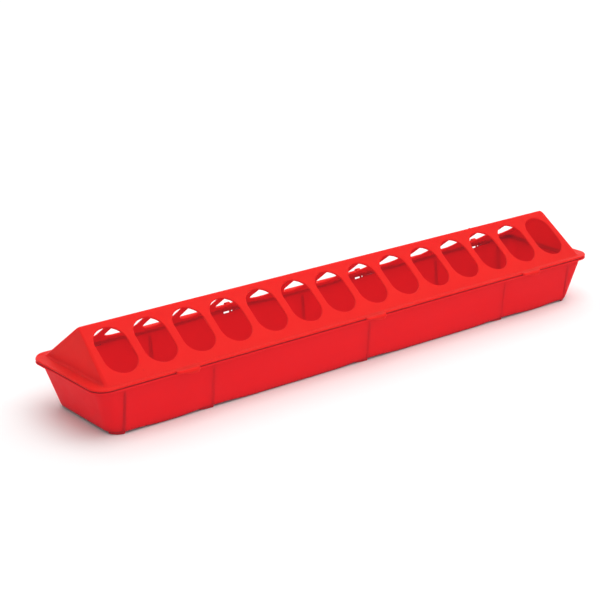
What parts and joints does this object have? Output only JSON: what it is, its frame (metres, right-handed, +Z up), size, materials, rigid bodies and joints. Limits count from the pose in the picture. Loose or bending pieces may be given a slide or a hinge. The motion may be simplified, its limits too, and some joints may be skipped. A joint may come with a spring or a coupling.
{
  "type": "flip-top trough feeder",
  "caption": "Long red plastic poultry trough feeder: an open tray on small feet under a hipped flip-top cover with oblong feeding holes down both slopes, hinged along the rear rim.",
  "frame": {"origin": "middle of the footprint, on the plane that the feet stand on", "axes": "+X along the trough, +Y towards the hinged rear rim, +Z up; the snap tabs are on the -Y side"},
  "size_m": [0.5, 0.1, 0.0715],
  "materials": {
    "tray_plastic": "semi-gloss moulded polypropylene, red",
    "cover_plastic": "semi-gloss moulded polypropylene, red"
  },
  "bodies": {
    "tray": {"tray": "tray_plastic", "hinge_rod_1": "tray_plastic", "hinge_rod_2": "tray_plastic", "hinge_rod_3": "tray_plastic", "hinge_rod_4": "tray_plastic", "foot_front_1": "tray_plastic", "foot_front_2": "tray_plastic", "foot_front_3": "tray_plastic", "foot_front_4": "tray_plastic", "foot_front_5": "tray_plastic", "foot_rear_1": "tray_plastic", "foot_rear_2": "tray_plastic", "foot_rear_3": "tray_plastic", "foot_rear_4": "tray_plastic", "foot_rear_5": "tray_plastic"},
    "cover": {"cover": "cover_plastic", "hinge_clip_1": "cover_plastic", "hinge_clip_2": "cover_plastic", "hinge_clip_3": "cover_plastic", "hinge_clip_4": "cover_plastic", "snap_tab_1": "cover_plastic", "snap_tab_2": "cover_plastic", "snap_tab_3": "cover_plastic"}
  },
  "joints": [
    {"name": "cover_hinge", "type": "hinge", "parent": "tray", "child": "cover", "pos_m": [0, 0.0476, 0.0389], "axis": [-1, 0, 0], "range_deg": [0, 180]}
  ]
}
